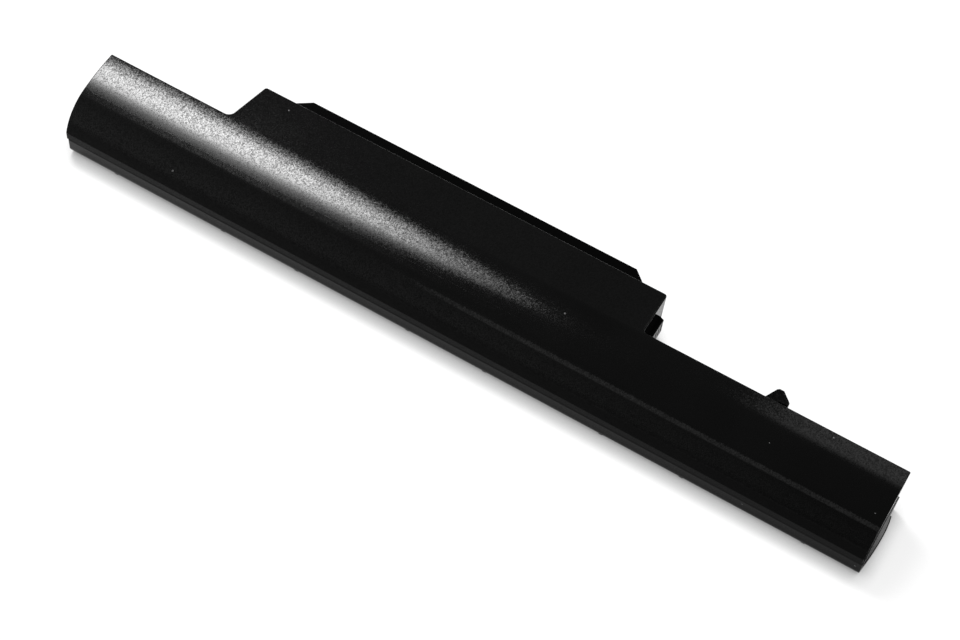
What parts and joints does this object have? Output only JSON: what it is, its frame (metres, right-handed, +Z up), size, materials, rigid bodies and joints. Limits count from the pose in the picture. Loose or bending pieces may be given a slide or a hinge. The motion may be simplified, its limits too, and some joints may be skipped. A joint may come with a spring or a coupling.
{
  "type": "laptop battery",
  "caption": "Long black battery pack with a rounded back, a raised block, a front rail, a catch and a terminal nose.",
  "frame": {"origin": "middle of the footprint, on the underside", "axes": "+X along the pack towards the end with the lip, +Y from the rounded back towards the block, +Z up"},
  "size_m": [0.2714, 0.0468, 0.0222],
  "materials": {
    "upper_case": "fine grained black moulding",
    "lower_case": "fine grained black moulding",
    "port_plastic": "smooth black moulding",
    "cell_sleeve": "shrunk sleeve",
    "washer_card": "plain card",
    "nickel": "rolled nickel sheet",
    "contact_metal": "plated spring blade",
    "board_laminate": "green solder mask",
    "cable_film": "amber film",
    "foam": "closed-cell foam",
    "chip_plastic": "moulded package"
  },
  "bodies": {
    "root": {"barrel_left_strip": "nickel", "barrel_left_tab": "nickel", "barrel_link_1_strip": "nickel", "barrel_link_1_tab": "nickel", "barrel_link_2_strip": "nickel", "barrel_link_2_tab": "nickel", "barrel_link_3_strip": "nickel", "barrel_link_3_tab": "nickel", "barrel_pad_left": "foam", "barrel_pad_right": "foam", "barrel_right_strip": "nickel", "barrel_right_tab": "nickel", "block_left_strip": "nickel", "block_left_tab": "nickel", "block_link_strip": "nickel", "block_link_tab": "nickel", "block_right_strip": "nickel", "block_right_tab": "nickel", "board_link": "cable_film", "cell_1": "cell_sleeve", "cell_2": "cell_sleeve", "cell_3": "cell_sleeve", "cell_4": "cell_sleeve", "cell_5": "cell_sleeve", "cell_6": "cell_sleeve", "cell_washer_1": "washer_card", "cell_washer_2": "washer_card", "cell_washer_3": "washer_card", "cell_washer_4": "washer_card", "cell_washer_5": "washer_card", "cell_washer_6": "washer_card", "charge_switch": "chip_plastic", "contact_1": "contact_metal", "contact_2": "contact_metal", "contact_3": "contact_metal", "contact_4": "contact_metal", "contact_5": "contact_metal", "controller_chip": "chip_plastic", "current_shunt": "chip_plastic", "discharge_switch": "chip_plastic", "end_board": "board_laminate", "guard_chip": "chip_plastic", "lower_shell": "lower_case", "main_board": "board_laminate", "safety_fuse": "chip_plastic", "terminal_port": "port_plastic", "thermistor": "chip_plastic", "upper_shell": "upper_case"}
  },
  "joints": []
}
